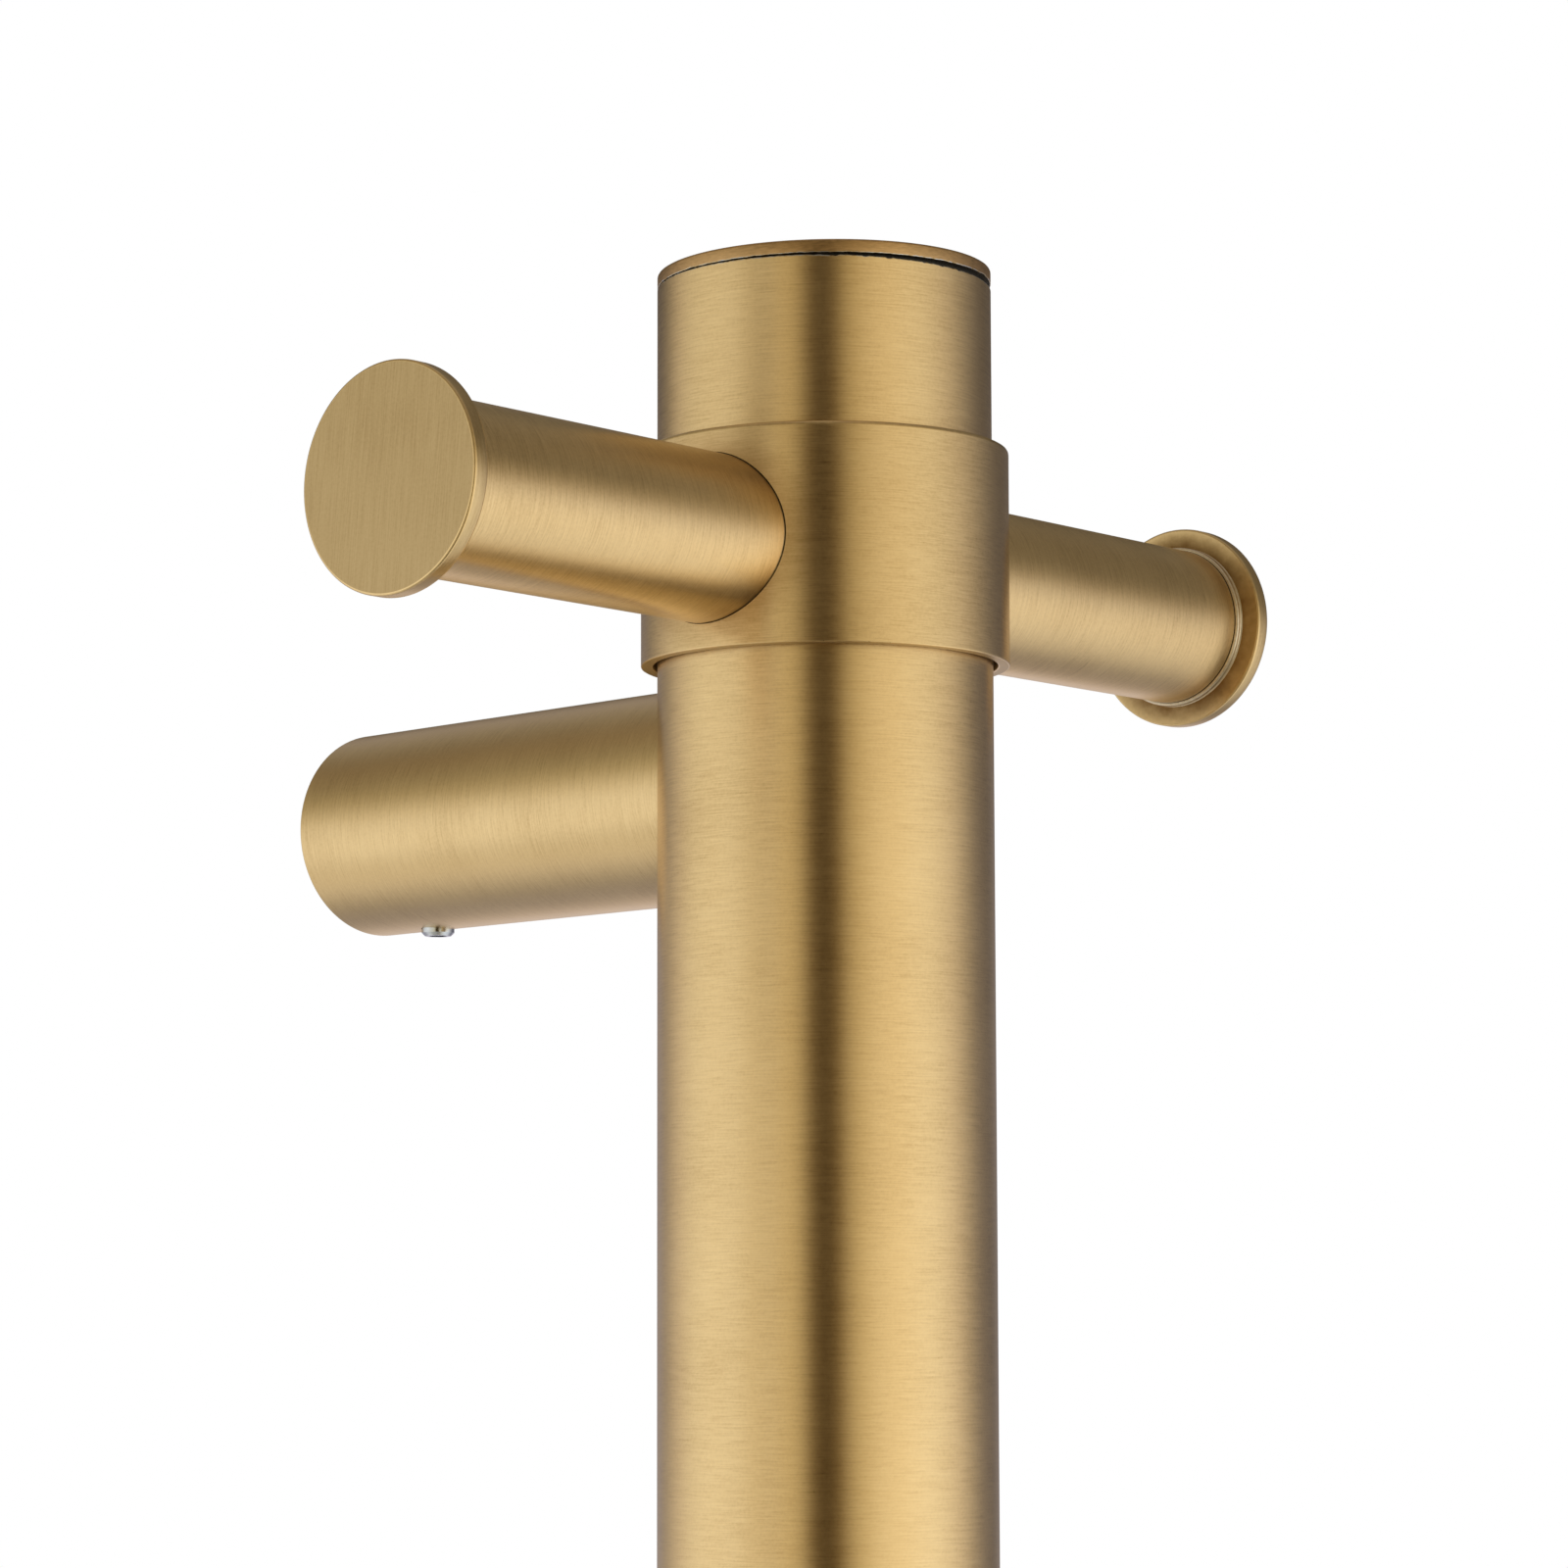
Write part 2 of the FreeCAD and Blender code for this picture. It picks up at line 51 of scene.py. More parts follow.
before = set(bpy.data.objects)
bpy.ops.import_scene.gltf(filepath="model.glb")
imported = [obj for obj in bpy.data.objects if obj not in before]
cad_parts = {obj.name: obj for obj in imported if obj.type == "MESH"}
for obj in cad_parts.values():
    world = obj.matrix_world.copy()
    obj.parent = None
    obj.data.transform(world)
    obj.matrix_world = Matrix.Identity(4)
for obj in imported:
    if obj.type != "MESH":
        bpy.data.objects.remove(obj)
cad_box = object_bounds()

MM = 0.001
MICRON = 1e-6

# Camera
CAMERA_FROM_HOOK = Vector((-0.38454, -0.40655, -0.08986))
CAMERA_AZIMUTH = math.radians(42.922)
CAMERA_TILT = math.radians(6.558)
CAMERA_ROLL = math.radians(-0.144)
LENS_MM = 114.47
SENSOR_MM = 36.0

# Small shapes that the CAD leaves plain
HOLE_SEGMENTS = 96              # round a screw hole
CREASE = math.radians(40)       # edges that a cut leaves sharper than this are shaded sharp
COLLAR_SEGMENTS = 512           # round the hook's collar
SEGMENTS = 256                  # round a peg, a bracket or a disc
FINE_SEGMENTS = 768             # round the upright, where its ends are chipped
ARC_STEPS = 4
LIP_ROUNDING = 0.08 * MM
TUBE_LIP_ROUNDING = 0.14 * MM
SADDLE_ROUNDING = 0.08 * MM
EDGE_ROUNDING = 0.3 * MM
RIM_ROUNDING = 0.5 * MM
RIM_SHARP = 0.15 * MM
BEAD_ROUNDING = 0.36 * MM
BORE_ROUNDING = 0.2 * MM
GROOVE_CLEARANCE = 0.075 * MM
HOLE_CLEARANCE = 0.05 * MM
LEAD_CLEARANCE = 0.25 * MM
CUT_PAST = 1 * MM               # how far a cutter reaches past the surface it cuts

# Each end cap sits a little askew, so the gap under it is wide at one side and almost shut at the other
CAP_GAP_WIDE = 0.74 * MM
CAP_GAP_SHUT = 0.09 * MM
CAP_GAP_CURVE = 1.9             # above 1, the gap stays narrow over more of the way round
CAP_OPENS_AT = {"top": math.radians(-43), "bottom": math.radians(160)}
CAP_DIP = 0.46 * MM
LIP_CHIP = 0.16 * MM            # depth of the chips in the tube's end and in the cap's edge
CAP_CHIP = 0.08 * MM
LIP_GRAIN = 0.03 * MM           # height of the fine roughness there
CAP_GRAIN = 0.03 * MM
SEAL_CLEARANCE = 0.01 * MM

# Two kinds of chips: how many points of the edge each is wide, gain and threshold that leave only
# the peaks of its noise, and its share of the depth
Chips = namedtuple("Chips", "width gain threshold depth")
LARGE_CHIPS = Chips(9, 1.6, 0.55, 1.0)
SMALL_CHIPS = Chips(3, 1.5, 0.7, 0.5)
GRAIN_WIDTH = 3

# Joints
SEAM_GAP = 0.05 * MM            # between a tube's saddle end and what it is bolted to
PEG_JOINT_GAP = 0.08 * MM       # between a peg's end and its disc's shoulder

# Each peg sits in a shallow seat in the collar, with a dark gap round it that is wider at one side
SEAT_DEPTH = 0.45 * MM
SEAT_GAP = 0.085 * MM
SEAT_OFF_CENTRE = 0.035 * MM

# How near counts when CAD points are picked out
SAME_PLACE = 0.01 * MM
PAST_STEP = 0.1 * MM
SAME_BRACKET = 50 * MM


# Sizes, read from the CAD nodes

Extent = namedtuple("Extent", "start end bore radius")


def placed(origin, axis, side):
    """Matrix of a piece whose own Z runs along axis and whose own X runs along side."""
    columns = Matrix((side, axis.cross(side), axis)).transposed()
    return Matrix.Translation(origin) @ columns.to_4x4()


def local_points(node, place):
    """Vertices of a CAD node, in the piece's own coordinates."""
    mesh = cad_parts[node].data
    points = np.empty(len(mesh.vertices) * 3)
    mesh.vertices.foreach_get("co", points)
    inverse = np.array(place.inverted())
    return points.reshape(-1, 3) @ inverse[:3, :3].T + inverse[:3, 3]


def extent(node, place, after=-math.inf, before=math.inf):
    """How far a CAD node reaches along its axis between two places, and its radii there."""
    points = local_points(node, place)
    points = points[(points[:, 2] > after) & (points[:, 2] < before)]
    radii = np.hypot(points[:, 0], points[:, 1])
    return Extent(points[:, 2].min(), points[:, 2].max(), radii.min(), radii.max())


def radius_at(node, place, along):
    """Largest radius of a CAD node at one place along its axis."""
    points = local_points(node, place)
    near = np.abs(points[:, 2] - along) < SAME_PLACE
    return np.hypot(points[near, 0], points[near, 1]).max()


def middle(node):
    low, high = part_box(node)
    return (low + high) / 2


def flat_face_direction(node, towards):
    """Which way a turned CAD node's flat end faces: its largest triangle lies there."""
    normal = max(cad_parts[node].data.polygons, key=lambda face: face.area).normal
    return normal if normal.dot(towards) > 0 else -normal


X, Y, Z = Vector((1, 0, 0)), Vector((0, 1, 0)), Vector((0, 0, 1))
UPRIGHT = placed(Vector((middle("rail_tube").x, middle("rail_tube").y, 0)), Z, X)
HOOK_ALONG = flat_face_direction("right_peg_disc", X)
HOOK_ACROSS = Z.cross(HOOK_ALONG)
HOOK_CENTRE = (middle("right_peg_disc") + middle("left_peg_disc")) / 2
HOOK = placed(HOOK_CENTRE, Z, HOOK_ALONG)
PEGS = {
    "left": placed(HOOK_CENTRE, -HOOK_ALONG, -HOOK_ACROSS),
    "right": placed(HOOK_CENTRE, HOOK_ALONG, HOOK_ACROSS),
}


def bracket_place(level):
    """A bracket's own Z runs from the upright's axis to the wall."""
    height = middle(f"{level}_wall_boss").z
    return placed(Vector((UPRIGHT.translation.x, UPRIGHT.translation.y, height)), Y, X)


BRACKETS = {level: bracket_place(level) for level in ("upper", "lower")}
TUBE = extent("rail_tube", UPRIGHT)
COLLAR = extent("hook_collar", HOOK)


# Turned pieces

Corner = namedtuple("Corner", "along radius rounding finish edge", defaults=(0.0, 0, None))


def soften(corners):
    """Closed outline with every corner's rounding as a small curve: (along, radius, finish) points."""
    points = []
    for before, corner, after in zip(corners[-1:] + corners[:-1], corners, corners[1:] + corners[:1]):
        here = Vector((corner.along, corner.radius))
        if not corner.rounding:
            points.append((here.x, here.y, corner.finish))
            continue
        start = here + (Vector(before[:2]) - here).normalized() * corner.rounding
        end = here + (Vector(after[:2]) - here).normalized() * corner.rounding
        edge = corner.finish if corner.edge is None else corner.edge
        for step in range(ARC_STEPS + 1):
            t = step / ARC_STEPS
            point = start * (1 - t) ** 2 + here * 2 * t * (1 - t) + end * t ** 2
            points.append((point.x, point.y, edge if step < ARC_STEPS else corner.finish))
    return points


def turned(name, corners, place, finishes, segments=SEGMENTS, warp=None):
    """Solid of revolution of a closed outline; warp moves its points along the axis."""
    outline = soften(corners)
    shape = bmesh.new()
    rings = [ring_of_points(shape, along, radius, segments, warp) for along, radius, _ in outline]
    for ring, following, (_, _, finish) in zip(rings, rings[1:] + rings[:1], outline):
        if len(ring) > 1 or len(following) > 1:
            join_rings(shape, ring, following, segments, finish)
    bmesh.ops.recalc_face_normals(shape, faces=shape.faces)
    piece = linked_object(name, shape, finishes)
    piece.matrix_world = place
    return piece


def ring_of_points(shape, along, radius, segments, warp):
    """The points of one ring, or the single point of a ring on the axis."""
    ring = []
    for i in range(segments if radius > 0 else 1):
        angle = 2 * math.pi * i / segments
        z = warp(along, radius, i) if warp else along
        ring.append(shape.verts.new((radius * math.cos(angle), radius * math.sin(angle), z)))
    return ring


def join_rings(shape, ring, following, segments, finish):
    for i in range(segments):
        j = (i + 1) % segments
        loop = (ring[i % len(ring)], ring[j % len(ring)],
                following[j % len(following)], following[i % len(following)])
        face = shape.faces.new(dict.fromkeys(loop))
        face.material_index = finish
        face.smooth = True


def linked_object(name, shape, finishes):
    mesh = bpy.data.meshes.new(name)
    shape.to_mesh(mesh)
    shape.free()
    for finish in finishes:
        mesh.materials.append(finish)
    made = bpy.data.objects.new(name, mesh)
    bpy.context.scene.collection.objects.link(made)
    return made


def cut_hole(piece, place, radius, start, end, end_radius=None):
    """Cut a round or conical hole along place's own Z, between start and end."""
    corners = [
        Corner(start, 0.0, 0, BORE),
        Corner(start, radius, 0, BORE),
        Corner(end, radius if end_radius is None else end_radius, 0, BORE),
        Corner(end, 0.0, 0, BORE),
    ]
    cut_away(piece, turned("cutter", corners, place, BRASS_FINISHES, HOLE_SEGMENTS))


def cut_away(piece, cutter):
    """Cut the space of cutter out of piece; the cut faces get the cutter's finish and sharp edges."""
    hole = piece.modifiers.new("hole", "BOOLEAN")
    hole.operation = "DIFFERENCE"
    hole.solver = "EXACT"
    hole.object = cutter
    bpy.context.view_layer.update()
    evaluated = piece.evaluated_get(bpy.context.evaluated_depsgraph_get())
    piece.data = bpy.data.meshes.new_from_object(evaluated)
    piece.modifiers.clear()
    bpy.data.objects.remove(cutter)
    shape = bmesh.new()
    shape.from_mesh(piece.data)
    for edge in shape.edges:
        edge.smooth = edge.smooth and edge.calc_face_angle(0) < CREASE
    shape.to_mesh(piece.data)
    shape.free()


def smooth_shading(piece):
    """Normals that follow the large faces, so that only the small roundings look bent."""
    normals = piece.modifiers.new("normals", "WEIGHTED_NORMAL")
    normals.mode = "FACE_AREA"
    normals.keep_sharp = True


def stands_for(piece, node, body):
    smooth_shading(piece)
    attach(piece, body)
    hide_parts(node)


def ragged(seed, chip, grain):
    """Offsets round a turned edge: fine roughness, with a few chips that only go one way."""
    source = random.Random(seed)

    def noise(width):
        values = np.array([source.uniform(-1, 1) for _ in range(FINE_SEGMENTS)])
        window = np.hanning(width + 2)[1:-1]
        spread = np.fft.ifft(np.fft.fft(values) * np.fft.fft(window, FINE_SEGMENTS)).real
        return spread / np.abs(spread).max()

    def chips(kind):
        return kind.depth * np.clip(noise(kind.width) * kind.gain - kind.threshold, 0, 1)

    return -chip * (chips(LARGE_CHIPS) + chips(SMALL_CHIPS)) + grain * noise(GRAIN_WIDTH)


# Materials

# Noise: its usual range, and where a finish turns from its dark colour to its light one
NOISE_LOW, NOISE_HIGH = 0.3, 0.7
GRAIN_DARK, GRAIN_LIGHT = 0.32, 0.68
BRUSH_DARK, BRUSH_PLAIN, BRUSH_LIGHT = 0.34, 0.50, 0.66
NOISE_DETAIL = 3.0
SOFT_DETAIL = 2.0
NOISE_ROUGHNESS = 0.6

# Size of the cloudy patches and speckles in a finish, and their share of it
BRASS_CLOUD, BRASS_CLOUD_SHARE = 14 * MM, 0.25
BRASS_SPECKLE, BRASS_SPECKLE_SHARE = 0.35 * MM, 0.3
METAL_CLOUD, METAL_CLOUD_SHARE = 9 * MM, 0.4
METAL_GRAIN = 0.6 * MM
MOULDED_CLOUD, MOULDED_CLOUD_SHARE = 7 * MM, 0.35
MOULDED_GRAIN = 0.8 * MM
WORN_PATCH = (0.9 * MM, 0.9 * MM, 0.5 * MM)

# Depth of the surface's relief
BRUSH_DEPTH = 5 * MICRON
METAL_DEPTH = 3 * MICRON
MOULDED_DEPTH = 8 * MICRON
WORN_DEPTH = 20 * MICRON


class Nodes:
    """A shader tree, built up node by node."""

    def __init__(self, tree):
        self.tree = tree

    def node(self, kind, inputs, **settings):
        made = self.tree.nodes.new(kind)
        for key, value in settings.items():
            setattr(made, key, value)
        for key, value in inputs.items():
            if isinstance(value, bpy.types.NodeSocket):
                self.tree.links.new(value, made.inputs[key])
            else:
                made.inputs[key].default_value = value
        return made

    def maths(self, operation, *values):
        return self.node("ShaderNodeMath", dict(enumerate(values)), operation=operation).outputs[0]

    def eased(self, value, low, high, to_low=0.0, to_high=1.0):
        """value's range from low to high taken to that from to_low to to_high."""
        inputs = {"Value": value, "From Min": low, "From Max": high, "To Min": to_low, "To Max": to_high}
        return self.node("ShaderNodeMapRange", inputs).outputs["Result"]

    def mixed(self, blend_type, first, second, share=1.0):
        inputs = {"Factor": share, 6: first, 7: second}
        return self.node("ShaderNodeMix", inputs, data_type="RGBA", blend_type=blend_type).outputs[2]

    def colours(self, factor, *stops):
        ramp = self.node("ShaderNodeValToRGB", {"Fac": factor})
        elements = ramp.color_ramp.elements
        while len(elements) < len(stops):
            elements.new(1.0)
        for element, (position, colour) in zip(elements, stops):
            element.position = position
            element.color = (*colour, 1)
        return ramp.outputs["Color"]


class Finish(Nodes):
    """A procedural material."""

    def __init__(self, name, metallic=0.0):
        self.material = bpy.data.materials.new(name)
        self.material.use_nodes = True
        super().__init__(self.material.node_tree)
        self.shader = self.tree.nodes["Principled BSDF"]
        self.shader.inputs["Metallic"].default_value = metallic

    def grain(self, size, turn=0.0, detail=NOISE_DETAIL):
        """Noise from 0 to 1 whose features have this size along the piece's own X, Y and Z."""
        place = self.node("ShaderNodeTexCoord", {}).outputs["Object"]
        scaled = self.node(
            "ShaderNodeMapping",
            {"Vector": place, "Scale": size, "Rotation": (0, 0, turn)},
            vector_type="TEXTURE",
        )
        noise = self.node("ShaderNodeTexNoise", {
            "Vector": scaled.outputs["Vector"], "Scale": 1.0,
            "Detail": detail, "Roughness": NOISE_ROUGHNESS,
        })
        return noise.outputs["Fac"]

    def shaded_and_stained(self, colour, shade_and_stain):
        """colour, unevenly darker near a joint that goes round one of the piece's own axes: painted shade of
        the joint, with tarnish at some joints.
        """
        place = self.node("ShaderNodeTexCoord", {}).outputs["Object"]
        inputs = {0: place, 1: shade_and_stain.across}
        across = self.node("ShaderNodeVectorMath", inputs, operation="MULTIPLY").outputs[0]
        distance = self.node("ShaderNodeVectorMath", {0: across}, operation="LENGTH").outputs["Value"]
        uneven = self.maths("SUBTRACT", self.grain(shade_and_stain.grain), 0.5)
        reach = self.maths("MULTIPLY_ADD", uneven, shade_and_stain.outer - shade_and_stain.inner, distance)
        unshaded_unstained = self.eased(reach, shade_and_stain.inner, shade_and_stain.outer)
        return self.mixed("MULTIPLY", colour, self.colours(unshaded_unstained, (0.0, shade_and_stain.tone), (1.0, (1, 1, 1))))

    def blend(self, first, second, share):
        """first and second added up, with this share of second."""
        return self.maths("MULTIPLY_ADD", first, 1 - share, self.maths("MULTIPLY", second, share))

    def spread(self, factor, low, high):
        """The usual range of a noise taken to that from low to high."""
        return self.eased(factor, NOISE_LOW, NOISE_HIGH, low, high)

    def bump(self, height, depth):
        made = self.node("ShaderNodeBump", {"Height": height, "Distance": depth, "Strength": 1.0})
        return made.outputs["Normal"]

    def brushed_along(self, direction, amount):
        """Light spreads along direction, in the piece's own coordinates, across the brush lines."""
        across = self.node(
            "ShaderNodeVectorTransform", {"Vector": direction},
            vector_type="VECTOR", convert_from="OBJECT", convert_to="WORLD",
        )
        self.tree.links.new(across.outputs["Vector"], self.shader.inputs["Tangent"])
        self.shader.inputs["Anisotropic"].default_value = amount

    def set(self, **sockets):
        for name, value in sockets.items():
            self.tree.links.new(value, self.shader.inputs[name.replace("_", " ").title()])
        return self.material


def tinted(colour, factor):
    return tuple(channel * factor for channel in colour)


def even(size):
    """The same size along X, Y and Z."""
    return (size,) * 3


BRASS = (0.80, 0.610, 0.345)
BRASS_DARK = (0.66, 0.485, 0.26)
BRASS_LIGHT = (0.89, 0.695, 0.41)
BRASS_BROWN = (0.52, 0.345, 0.175)
BRASS_WORN = (0.72, 0.65, 0.54)
SILVERED = (0.66, 0.69, 0.76)
WORN_STOPS = [(0.38, tinted(BRASS, 0.7)), (0.52, BRASS_WORN), (0.62, SILVERED)]
WORN_ROUGHNESS = (0.42, 0.28)


def brushed_brass(
    name, streak, direction, turn=0.0, tone=1.0, roughness=(0.27, 0.35), anisotropy=0.6, shade_and_stain=None
):
    """Satin brass with fine brush lines, speckles and a cloudy tone; direction is across the lines."""
    finish = Finish(name, metallic=1.0)
    lines = finish.grain(streak, turn)
    cloud = finish.grain(even(BRASS_CLOUD), detail=SOFT_DETAIL)
    speckle = finish.grain(even(BRASS_SPECKLE), detail=SOFT_DETAIL)
    look = finish.blend(finish.blend(lines, speckle, BRASS_SPECKLE_SHARE), cloud, BRASS_CLOUD_SHARE)
    colour = finish.colours(
        look,
        (BRUSH_DARK, tinted(BRASS_DARK, tone)),
        (BRUSH_PLAIN, tinted(BRASS, tone)),
        (BRUSH_LIGHT, tinted(BRASS_LIGHT, tone)),
    )
    finish.brushed_along(direction, anisotropy)
    return finish.set(
        base_color=finish.shaded_and_stained(colour, shade_and_stain) if shade_and_stain else colour,
        roughness=finish.spread(look, *roughness),
        normal=finish.bump(lines, BRUSH_DEPTH),
    )


def plain_metal(name, dark, light, roughness, grain=even(METAL_GRAIN), depth=METAL_DEPTH, shade_and_stain=None):
    """Metal without brush lines: a fine grain in its colour, gloss and surface."""
    finish = Finish(name, metallic=1.0)
    look = finish.blend(finish.grain(grain), finish.grain(even(METAL_CLOUD)), METAL_CLOUD_SHARE)
    colour = finish.colours(look, (GRAIN_DARK, dark), (GRAIN_LIGHT, light))
    return finish.set(
        base_color=finish.shaded_and_stained(colour, shade_and_stain) if shade_and_stain else colour,
        roughness=finish.spread(look, *roughness),
        normal=finish.bump(look, depth),
    )


def moulded(name, dark, light, roughness):
    """Rubber, resin, polymer or wire insulation with a fine moulded grain."""
    finish = Finish(name)
    fine = finish.grain(even(MOULDED_GRAIN))
    look = finish.blend(fine, finish.grain(even(MOULDED_CLOUD)), MOULDED_CLOUD_SHARE)
    return finish.set(
        base_color=finish.colours(look, (GRAIN_DARK, dark), (GRAIN_LIGHT, light)),
        roughness=finish.spread(look, *roughness),
        normal=finish.bump(look, MOULDED_DEPTH),
    )


def worn_edge():
    """Cut edge where the brass finish is thin: silvery metal with patches of brass."""
    finish = Finish("worn_edge", metallic=1.0)
    patches = finish.grain(WORN_PATCH)
    return finish.set(
        base_color=finish.colours(patches, *WORN_STOPS),
        roughness=finish.spread(patches, *WORN_ROUGHNESS),
        normal=finish.bump(patches, WORN_DEPTH),
    )


# Painted shade round a joint, with real tarnish at some joints: full at the inner radius, gone at the outer
# one. across is 1 for the two coordinates that give the distance from the joint's axis
ShadeAndStain = namedtuple("ShadeAndStain", "across inner outer tone grain")
# Painted shade of each peg on the collar round its seat, mixed with mottled tarnish
SEAT_SHADE_AND_TARNISH = ShadeAndStain(
    (0, 1, 1), extent("left_peg", PEGS["left"]).radius, 13 * MM,
    tone=(0.76, 0.70, 0.64), grain=(5 * MM, 5 * MM, 0.8 * MM),
)
# Painted shade in the corner between a disc's back face and its shoulder, dark brown towards the shoulder
SHOULDER_PAINTED_SHADE = ShadeAndStain(
    (1, 1, 0), 9.9 * MM, 11.9 * MM, tone=(0.40, 0.32, 0.24), grain=even(2 * MM),
)

TUBE_STREAK = (3.5 * MM, 3.5 * MM, 0.16 * MM)
COLLAR_STREAK = (2.5 * MM, 2.5 * MM, 0.14 * MM)
FACE_STREAK = (0.16 * MM, 7 * MM, 7 * MM)
AROUND = brushed_brass("brass_brushed_around", TUBE_STREAK, (0, 0, 1))
# The collar's brass, darker round each peg's seat: painted shade of the peg, with mottled tarnish
COLLAR_AROUND = brushed_brass(
    "brass_brushed_collar", COLLAR_STREAK, (0, 0, 1), tone=0.96, shade_and_stain=SEAT_SHADE_AND_TARNISH
)
BRACKET_AROUND = brushed_brass("brass_brushed_bracket", TUBE_STREAK, (0, 0, 1), tone=0.95)
DISC_AROUND = brushed_brass("brass_brushed_rim", TUBE_STREAK, (0, 0, 1), tone=0.8)
DISC_FACE = brushed_brass(
    "brass_brushed_face", FACE_STREAK, (1, 0, 0), turn=math.radians(-6),
    tone=0.72, roughness=(0.34, 0.42), anisotropy=0.4,
)
# The disc's back face, with painted shade near its shoulder
DISC_BACK = plain_metal(
    "brass_disc_back", tinted(BRASS, 0.84), tinted(BRASS, 0.98), (0.34, 0.44), shade_and_stain=SHOULDER_PAINTED_SHADE
)
COLLAR_END = plain_metal("brass_collar_end", tinted(BRASS, 0.55), tinted(BRASS, 0.75), (0.36, 0.5))
CAP_SIDE = plain_metal(
    "brass_cap_side", tinted(BRASS_BROWN, 0.82), tinted(BRASS_BROWN, 1.3), (0.32, 0.42),
    grain=(0.9 * MM, 0.9 * MM, 0.2 * MM), depth=MOULDED_DEPTH,
)
# Brass darkened as painted shade for bores, holes and the faces inside gaps
INSIDE = plain_metal("brass_bore", tinted(BRASS, 0.4), tinted(BRASS, 0.6), (0.45, 0.6))
ROUNDED = plain_metal("brass_edge", tinted(BRASS, 0.85), tinted(BRASS, 1.05), (0.26, 0.36))
BEAD = plain_metal(
    "brass_bead", (0.66, 0.56, 0.42), (0.88, 0.82, 0.74), (0.26, 0.38), grain=even(0.5 * MM)
)
JOINT = moulded("joint_shadow", (0.006, 0.004, 0.003), (0.02, 0.014, 0.010), (0.6, 0.8))
WORN = worn_edge()

# Finishes of a turned brass piece; many put one of their own first, and some add up to three more
BRASS_FINISHES = [AROUND, INSIDE, ROUNDED, WORN, JOINT]
SIDE, BORE, EDGE, CHIPPED, DARK, FIRST_OWN, SECOND_OWN, BEAD_PART = range(len(BRASS_FINISHES) + 3)

# Each CAD slot's own finish, for the nodes that stay as they are
SLOT_FINISHES = {
    "brushed_brass": AROUND,
    "turned_brass": plain_metal("turned_brass", (0.50, 0.34, 0.14), (0.66, 0.48, 0.22), (0.3, 0.45)),
    "chromed_steel": plain_metal("chromed_steel", (0.54, 0.59, 0.68), (0.72, 0.78, 0.90), (0.10, 0.22)),
    "stainless_steel": plain_metal("stainless_steel", (0.42, 0.44, 0.48), (0.56, 0.58, 0.62), (0.25, 0.4)),
    "black_rubber": moulded("black_rubber", (0.010, 0.010, 0.011), (0.022, 0.021, 0.020), (0.6, 0.8)),
    "element_sheath": plain_metal("element_sheath", (0.24, 0.22, 0.19), (0.42, 0.39, 0.35), (0.3, 0.5)),
    "spacer_polymer": moulded("spacer_polymer", (0.60, 0.57, 0.50), (0.70, 0.67, 0.60), (0.45, 0.6)),
    "silicone_seal": moulded("silicone_seal", (0.42, 0.09, 0.05), (0.52, 0.13, 0.08), (0.45, 0.6)),
    "cutout_resin": moulded("cutout_resin", (0.03, 0.03, 0.035), (0.06, 0.06, 0.065), (0.3, 0.5)),
    "live_insulation": moulded("live_insulation", (0.14, 0.05, 0.02), (0.20, 0.08, 0.03), (0.35, 0.5)),
    "neutral_insulation": moulded("neutral_insulation", (0.02, 0.07, 0.30), (0.03, 0.10, 0.40), (0.35, 0.5)),
    "earth_insulation": moulded("earth_insulation", (0.20, 0.36, 0.02), (0.42, 0.50, 0.04), (0.35, 0.5)),
    "tinned_copper": plain_metal("tinned_copper", (0.55, 0.50, 0.45), (0.70, 0.66, 0.60), (0.25, 0.4)),
    "block_polymer": moulded("block_polymer", (0.66, 0.66, 0.64), (0.76, 0.76, 0.74), (0.4, 0.55)),
}


def finish_cad_nodes():
    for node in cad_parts.values():
        for material_slot in node.material_slots:
            material_slot.material = SLOT_FINISHES[material_slot.material.name]


# Upright, caps and seals

def cap_face(level):
    """Height of the cap's underside: where its disc starts, beyond the spigot."""
    low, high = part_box(f"{level}_cap_seal")
    return high.z if level == "top" else low.z


def openness(level, radius, i):
    """From 0 where the gap under a cap is shut to 1 where it is widest."""
    angle = 2 * math.pi * i / FINE_SEGMENTS
    return (1 + radius / TUBE.radius * math.cos(angle - CAP_OPENS_AT[level])) / 2


def cap_dip(level, radius, i):
    """How far a point of a cap sits closer to the tube than it would if the cap were square on it."""
    return CAP_DIP * (1 - openness(level, radius, i))


def tube_lip(level, side, seed):
    """Height of each point round the tube's end, a gap away from the askew cap."""
    gaps = []
    for i in range(FINE_SEGMENTS):
        opened = openness(level, TUBE.radius, i)
        gap = CAP_GAP_SHUT + (CAP_GAP_WIDE - CAP_GAP_SHUT) * opened ** CAP_GAP_CURVE
        gaps.append(cap_dip(level, TUBE.radius, i) + gap)
    return cap_face(level) - side * (np.array(gaps) - ragged(seed, LIP_CHIP, LIP_GRAIN))


LIPS = {"top": tube_lip("top", 1, 11), "bottom": tube_lip("bottom", -1, 12)}


